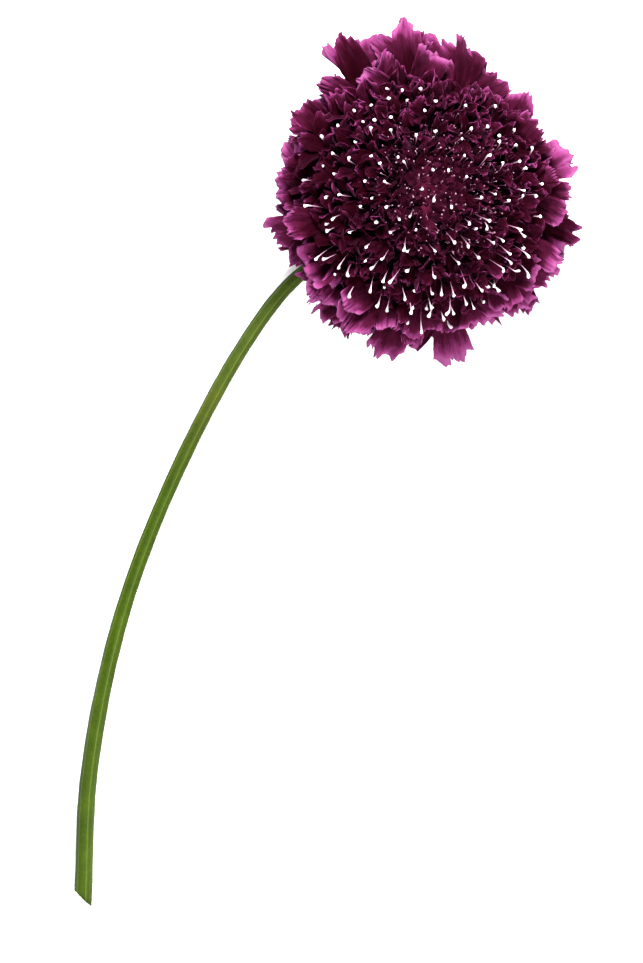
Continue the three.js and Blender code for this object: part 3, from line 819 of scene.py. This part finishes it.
def catmull_rom(points, samples):
    """A centripetal Catmull-Rom curve through points, with even samples by arc length."""
    points = [2 * points[0] - points[1]] + list(points) + [2 * points[-1] - points[-2]]
    t = np.linspace(0, 1, 40, endpoint=False)[:, None]
    made = []
    for p0, p1, p2, p3 in zip(points, points[1:], points[2:], points[3:]):
        gaps = (p1 - p0, p2 - p1, p3 - p2)
        d0, d1, d2 = (max(np.linalg.norm(gap), 1e-6) ** 0.5 for gap in gaps)
        m1 = ((p1 - p0) / d0 - (p2 - p0) / (d0 + d1) + (p2 - p1) / d1) * d1
        m2 = ((p2 - p1) / d1 - (p3 - p1) / (d1 + d2) + (p3 - p2) / d2) * d1
        square = 3 * (p2 - p1) - 2 * m1 - m2
        cube = 2 * (p1 - p2) + m1 + m2
        made.append(p1 + m1 * t + square * t ** 2 + cube * t ** 3)
    dense = np.concatenate(made + [points[-2][None]])
    steps = np.concatenate([[0], np.cumsum(np.linalg.norm(np.diff(dense, axis=0), axis=1))])
    even = np.linspace(0, steps[-1], samples)
    return np.stack([np.interp(even, steps, dense[:, k]) for k in range(3)], axis=1), even


def stem_route():
    """Points on the stem's middle line: from the bloom, round the neck, along the surface."""
    top = STEM_POINT + HEAD_AXIS * (STEM_TOP + 0.4)
    bend_start = STEM_POINT + HEAD_AXIS * (STEM_TOP - NECK_STRAIGHT)
    away = np.array([-cos(HEAD_AZIMUTH), -sin(HEAD_AZIMUTH), 0])
    bend_radius = (bend_start[2] - NECK_RADIUS) / (1 - sin(HEAD_TILT))
    points = [top, (top + bend_start) / 2]
    for n in range(NECK_STEPS + 1):
        heading = HEAD_TILT + (pi / 2 - HEAD_TILT) * n / NECK_STEPS
        run = bend_radius * (cos(HEAD_TILT) - cos(heading))
        drop = bend_radius * (sin(heading) - sin(HEAD_TILT))
        points.append(bend_start + away * run - np.array([0, 0, drop]))
    for x, y in STEM_PLAN:
        share = (y - STEM_PLAN[0][1]) / (STEM_PLAN[-1][1] - STEM_PLAN[0][1])
        radius = (NECK_RADIUS + (FOOT_RADIUS - NECK_RADIUS) * share) * (1 + RIB_HEIGHT)
        points.append(np.array([HEAD_CENTRE[0] + x, HEAD_CENTRE[1] + y, radius]))
    return points


STEM_SIDES, STEM_SAMPLES = 36, 260
RIB_COUNT = 6
SLANT_FADE = (1.0, 0.45, 0.15)  # how far the cut's slant moves the last rings, from the end
CUT_GAP = 0.03
# (size, lift) of the rings of the cut face, from behind the stem's end to its middle.
CUT_LEVELS = [
    (0.02, -0.3), (0.9, -0.3), (0.93, 0.02), (0.85, 0.1), (0.6, 0.07), (0.45, -0.06), (0.3, -0.1),
    (0.02, -0.1),
]


def stem_shape(distance):
    """The stem's radius, flared below the bloom, and how much of it each side has."""
    flare = np.maximum(0, 1 - distance / FLARE_LENGTH)
    radius = NECK_RADIUS + (FOOT_RADIUS - NECK_RADIUS) * distance / distance[-1]
    radius = radius * (1 + 0.012 * np.sin(distance * 0.31) + 0.01 * np.sin(distance * 0.83 + 1))
    angle = side_angles(STEM_SIDES)[None]
    wander = 0.25 * np.sin(distance * 0.045)[:, None]
    ribs = RIB_HEIGHT * np.cos(RIB_COUNT * (angle + wander)) + 0.012 * np.cos(17 * angle + 2)
    ribs = ribs * (1 - 0.7 * flare[:, None])
    return radius + (FLARE_RADIUS - NECK_RADIUS) * flare ** 2, 0.985 + ribs


def stem_pieces():
    """The ribbed skin, which closes in a point at both ends, and the pale cut face."""
    route, distance = catmull_rom(stem_route(), STEM_SAMPLES)
    radius, shape = stem_shape(distance)
    rings = tube_points(route[None], radius[None], STEM_SIDES)[0]
    rings = route[:, None] + (rings - route[:, None]) * shape[..., None]
    tangent = unit(route[-1] - route[-2])
    lean = rings[-1, :, 0] - route[-1, 0]
    for back, amount in enumerate(SLANT_FADE, 1):
        rings[-back] = rings[-back] + tangent * (CUT_SLANT * lean * amount)[:, None]
    rings[..., 2] = np.maximum(rings[..., 2], FLOOR_GAP)
    top = route[0] + (rings[0] - route[0]) * 0.01
    middle = rings[-1].mean(axis=0)
    end = middle + (rings[-1] - middle) * 0.01
    points = np.concatenate([top[None], rings, end[None]]).reshape(-1, 3)
    share = np.repeat(np.concatenate([[0], distance, distance[-1:]]) / distance[-1], STEM_SIDES)
    rib = np.tile(np.cos(RIB_COUNT * side_angles(STEM_SIDES)), STEM_SAMPLES + 2)
    grain = np.stack([rib, share, 0 * share], axis=1)
    faces = tube_faces(1, STEM_SAMPLES + 2, STEM_SIDES)
    return mesh_object("stem_skin", points, faces, {"grain": grain}), cut_face(rings[-1], tangent)


def cut_face(edge, tangent):
    """The pale cut end: a thin slightly domed cap set in the slanted end of the stem."""
    middle = edge.mean(axis=0)
    rings = [middle + (edge - middle) * size + tangent * lift for size, lift in CUT_LEVELS]
    points = np.concatenate(rings)
    points[:, 2] = np.maximum(points[:, 2], CUT_GAP)
    grain = np.repeat(np.array([[size, 0, 0] for size, _ in CUT_LEVELS]), STEM_SIDES, axis=0)
    faces = tube_faces(1, len(CUT_LEVELS), STEM_SIDES)
    return mesh_object("stem_cut_face", points, faces, {"grain": grain})


# ---- materials ----


class Nodes:
    """Makes and joins the shader nodes of a material or world."""

    def __init__(self, owner):
        owner.use_nodes = True
        self.owner = owner
        self.tree = owner.node_tree
        self.tree.nodes.clear()

    def put(self, socket, value):
        if isinstance(value, bpy.types.NodeSocket):
            self.tree.links.new(value, socket)
        else:
            socket.default_value = value

    def node(self, kind, *values, **named):
        """A new node with values for its first sockets and for named ones."""
        node = self.tree.nodes.new("ShaderNode" + kind)
        for socket, value in zip(node.inputs, values):
            self.put(socket, value)
        for name, value in named.items():
            self.put(node.inputs[name.replace("_", " ")], value)
        return node

    def finish(self, shader, kind="OutputMaterial"):
        self.node(kind, Surface=shader)
        return self.owner

    def math(self, operation, first, second=0.0, clamp=False):
        node = self.node("Math", first, second)
        node.operation = operation
        node.use_clamp = clamp
        return node.outputs[0]

    def add(self, first, second, clamp=False):
        return self.math("ADD", first, second, clamp)

    def sub(self, first, second, clamp=False):
        return self.math("SUBTRACT", first, second, clamp)

    def mul(self, first, second, clamp=False):
        return self.math("MULTIPLY", first, second, clamp)

    def swing(self, value, size):
        """A value from 0 to 1 as one that swings about 0."""
        return self.mul(self.sub(value, 0.5), size)

    def place(self, kind):
        return self.node("TexCoord").outputs[kind]

    def attribute(self, name, kind="Vector"):
        node = self.node("Attribute")
        node.attribute_name = name
        return node.outputs[kind]

    def channels(self, vector):
        return self.node("SeparateXYZ", vector).outputs

    def ramp(self, factor, stops):
        """Colours between (place, colour) stops, where a colour may be one number for a grey."""
        node = self.node("ValToRGB", factor)
        elements = node.color_ramp.elements
        while len(elements) < len(stops):
            elements.new(0.5)
        for element, (place, colour) in zip(elements, stops):
            element.position = place
            element.color = (*np.broadcast_to(colour, 3), 1)
        return node.outputs[0]

    def blend(self, factor, first, second):
        node = self.node("Mix", factor)
        node.data_type = "RGBA"
        for socket, colour in zip(node.inputs[6:8], (first, second)):
            self.put(socket, colour)
        return node.outputs[2]

    def noise(self, scale, detail, vector=None):
        vector = self.place("Object") if vector is None else vector
        return self.node("TexNoise", Vector=vector, Scale=scale, Detail=detail).outputs["Fac"]

    def bump(self, height, strength, distance):
        return self.node("Bump", Height=height, Strength=strength, Distance=distance).outputs[0]

    def principled(self, colour, **named):
        return self.node("BsdfPrincipled", colour, **named).outputs[0]

    def translucent_mix(self, shader, colour, share):
        glow = self.node("BsdfTranslucent", colour).outputs[0]
        return self.node("MixShader", share, shader, glow).outputs[0]


def material_nodes(name):
    return Nodes(bpy.data.materials.new(name))


PETAL_STOPS = [
    (0.0, (0.011, 0.0005, 0.002)), (0.25, (0.022, 0.0016, 0.006)), (0.5, (0.066, 0.0066, 0.0265)),
    (0.75, (0.24, 0.036, 0.145)), (1.0, (0.335, 0.08, 0.235)),
]


def petal_material():
    """Dark velvet that pales in clouds to tip and margin, more so on the outer rings.

    The paling at the margin is a painted highlight, and ring also holds painted light.
    """
    n = material_nodes("petal_velvet")
    ring, along, edge = n.channels(n.attribute("shade"))
    across, seed, _ = n.channels(n.attribute("grain"))
    mottle = n.noise(260, 4)
    spot = n.node("CombineXYZ", n.mul(across, 3.2), n.mul(along, 4.2), n.mul(seed, 50.0))
    cloud = n.noise(1.0, 4, spot.outputs[0])
    veins = n.math("SINE", n.mul(across, 34))
    tone = n.add(n.mul(ring, 0.17), 0.02)
    tip = n.math("POWER", along, n.sub(3.4, ring))
    tone = n.add(tone, n.mul(tip, n.add(n.mul(ring, 0.36), 0.17)))
    for pattern, size in ((mottle, 0.22), (seed, 0.18), (cloud, 0.5)):
        tone = n.add(tone, n.swing(pattern, size))
    # Painted highlight: the margins pale, in patches.
    highlight_patches = n.sub(n.mul(cloud, 2.6), 0.35)
    margin = n.mul(n.math("POWER", edge, 5.0), n.mul(ring, 0.46))
    tone = n.add(tone, n.mul(margin, highlight_patches))
    tone = n.add(tone, n.mul(veins, 0.012), clamp=True)
    colour = n.ramp(tone, PETAL_STOPS)
    relief = n.add(n.mul(veins, 0.07), n.add(mottle, n.mul(cloud, 1.6)))
    shader = n.principled(
        colour, Roughness=0.6, Normal=n.bump(relief, 0.55, 0.0004), Sheen_Weight=0.07,
        Sheen_Roughness=0.4, Sheen_Tint=(1.0, 0.3, 0.7, 1.0), Specular_IOR_Level=0.0,
    )
    return n.finish(n.translucent_mix(shader, colour, 0.16))


PIN_STOPS = [
    (0.0, (0.1, 0.008, 0.04)), (0.5, (0.24, 0.08, 0.15)), (0.8, (0.52, 0.32, 0.43)),
    (0.94, (0.88, 0.8, 0.84)),
]


def pin_material():
    n = material_nodes("pin_wax")
    colour = n.ramp(n.attribute("level", "Fac"), PIN_STOPS)
    return n.finish(n.principled(colour, Roughness=0.4, Specular_IOR_Level=0.4))


def receptacle_material():
    n = material_nodes("receptacle_painted_shade")
    # Near-black: painted shade for the deep gaps between the florets.
    colour = n.ramp(n.noise(400, 3), [(0.3, (0.05, 0.003, 0.014)), (0.7, (0.1, 0.01, 0.035))])
    return n.finish(n.principled(colour, Roughness=0.9, Specular_IOR_Level=0.03))


BRACT_STOPS = [(0.1, (0.02, 0.045, 0.006)), (0.5, (0.05, 0.1, 0.014)), (1.0, (0.17, 0.24, 0.07))]


def bract_material():
    n = material_nodes("bract_leaf")
    across, along, _ = n.channels(n.attribute("grain"))
    aside = n.math("ABSOLUTE", across)
    rib = n.sub(1.0, n.mul(aside, 5.0), clamp=True)
    veins = n.math("SINE", n.add(n.mul(aside, 9), n.mul(along, -40)))
    mottle = n.noise(300, 4)
    tone = n.add(n.mul(mottle, 0.6), n.mul(rib, 0.35))
    colour = n.ramp(n.add(tone, n.mul(veins, 0.05), clamp=True), BRACT_STOPS)
    normal = n.bump(n.add(mottle, n.mul(veins, 0.4)), 0.4, 0.0003)
    shader = n.principled(
        colour, Roughness=0.55, Normal=normal, Sheen_Weight=0.08, Specular_IOR_Level=0.28
    )
    return n.finish(n.translucent_mix(shader, colour, 0.1))


STEM_STOPS = [
    (0.1, (0.016, 0.034, 0.001)), (0.42, (0.037, 0.065, 0.002)), (0.85, (0.082, 0.12, 0.008)),
]
STEM_FLUSH = (0.09, 0.074, 0.01, 1)  # brownish patches near the bloom
# A painted highlight along the stem's ribs.
STEM_RIB_HIGHLIGHT = (0.19, 0.26, 0.06, 1)


def stem_material():
    n = material_nodes("stem_skin")
    rib, share, _ = n.channels(n.attribute("grain"))
    mottle = n.noise(190, 4)
    streak = n.noise(1400, 2)
    tone = n.add(n.mul(mottle, 0.5), n.mul(rib, 0.06))
    tone = n.add(tone, n.swing(streak, 0.35))
    green = n.ramp(n.add(tone, n.mul(share, 0.1), clamp=True), STEM_STOPS)
    patch = n.mul(n.sub(n.noise(38, 2), 0.47), 3.2, clamp=True)
    young = n.sub(1.0, n.mul(share, 1.6), clamp=True)
    olive = n.blend(n.mul(n.mul(patch, young), 0.75), green, STEM_FLUSH)
    # Painted highlight: a pale line along each rib.
    rib_highlight = n.math("POWER", n.mul(rib, 0.98, clamp=True), 9.0)
    colour = n.blend(n.mul(rib_highlight, 0.4), olive, STEM_RIB_HIGHLIGHT)
    normal = n.bump(n.add(streak, n.mul(mottle, 0.5)), 0.25, 0.0002)
    return n.finish(n.principled(colour, Roughness=0.55, Normal=normal, Specular_IOR_Level=0.09))


PITH_STOPS = [(0.2, (0.55, 0.6, 0.34)), (0.6, (0.42, 0.52, 0.2)), (0.9, (0.2, 0.33, 0.07))]


def pith_material():
    n = material_nodes("cut_pith")
    size, _, _ = n.channels(n.attribute("grain"))
    colour = n.ramp(n.add(size, n.swing(n.noise(1800, 3), 0.3)), PITH_STOPS)
    return n.finish(n.principled(colour, Roughness=0.35, Normal=n.bump(n.noise(2600, 2), 0.4, 0.0002)))


FLOOR_GLOW = [(0.15, 0.45), (0.6, 0.95)]  # how far off, in metres, the floor glows how much


def floor_material():
    """A white floor that glows more further off, where the lamps don't reach."""
    n = material_nodes("studio_floor")
    far = n.node("VectorMath", n.place("Object"))
    far.operation = "LENGTH"
    glow = n.ramp(far.outputs["Value"], FLOOR_GLOW)
    return n.finish(n.principled(
        (0.8, 0.8, 0.8, 1), Roughness=0.9, Emission_Color=glow, Emission_Strength=1.0
    ))


# ---- the flower ----


def dress(piece, material, replaces=()):
    """Gives a piece its material, hangs it on the root body and hides the model's parts it replaces.
    """
    piece.data.materials.append(material)
    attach(piece, "root")
    if replaces:
        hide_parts(*replaces)


def build_flower():
    rng = np.random.default_rng(SEED)
    petal = petal_material()
    pieces, throats, rim_throats, claws = petal_pieces(rng)
    for number, piece in enumerate(pieces):
        dress(piece, petal, ["bloom"] if number == 0 else ())
    dress(floret_tubes(throats, claws), petal)
    dress(crown_buds(rng), petal)
    dress(receptacle(), receptacle_material())
    style_throats = throats + rim_throats + crown_throats() + crowded_throats(rng, throats)
    dress(style_pins(rng, style_throats), pin_material())
    leaf = bract_material()
    dress(bract_piece(rng), leaf, ["involucre"])
    dress(collar(), leaf)
    skin, cut = stem_pieces()
    dress(skin, stem_material(), ["stem"])
    dress(cut, pith_material())


# ---- the studio ----

IMAGE_WIDTH, IMAGE_HEIGHT = 643, 963
LENS, SENSOR = 150.0, 36.0
FRAME_MARGIN = 1.1
FLOOR_REACH = 3.0  # metres
SKY = [(0.05, 1.0), (0.4, 0.1)]  # how bright the surroundings are at the horizon and above it
# name: (place, energy, size)
LAMPS = {
    "key": ((0.02, 0.36, 0.5), 9.0, 0.16),
    "front": ((0.2, -0.34, 0.55), 6.2, 0.2),
}


def add_floor():
    mesh = bpy.data.meshes.new("floor")
    corners = [(-1, -1), (1, -1), (1, 1), (-1, 1)]
    mesh.from_pydata([(x * FLOOR_REACH, y * FLOOR_REACH, 0) for x, y in corners], [], [(0, 1, 2, 3)])
    mesh.materials.append(floor_material())
    put_in_scene("floor", mesh)


def add_camera(middle, size):
    """A camera straight above that takes in the whole flower."""
    camera = put_in_scene("camera", bpy.data.cameras.new("camera"))
    camera.data.lens = LENS
    camera.data.sensor_width = SENSOR
    camera.data.clip_start = 0.01
    fit = max(size[1], size[0] * IMAGE_HEIGHT / IMAGE_WIDTH) * FRAME_MARGIN
    camera.location = (middle[0], middle[1], middle[2] + fit * LENS / SENSOR)
    bpy.context.scene.camera = camera


def add_surroundings():
    n = Nodes(bpy.data.worlds.new("studio"))
    sky = n.node("Background", n.ramp(n.channels(n.place("Generated"))[2], SKY))
    bpy.context.scene.world = n.finish(sky.outputs[0], "OutputWorld")


def add_lamps(middle):
    for name, (place, energy, extent) in LAMPS.items():
        light = bpy.data.lights.new(name, "AREA")
        light.energy = energy
        light.size = extent
        lamp = put_in_scene(name, light)
        lamp.location = place
        away = Vector(np.asarray(place) - middle)
        lamp.rotation_euler = away.to_track_quat("Z", "Y").to_euler()


def studio():
    low, high = (np.array(corner) for corner in cad_box)
    middle = (low + high) / 2
    add_floor()
    add_camera(middle, high - low)
    add_surroundings()
    add_lamps(middle)
    bpy.context.scene.view_settings.view_transform = "Standard"


build_flower()
studio()
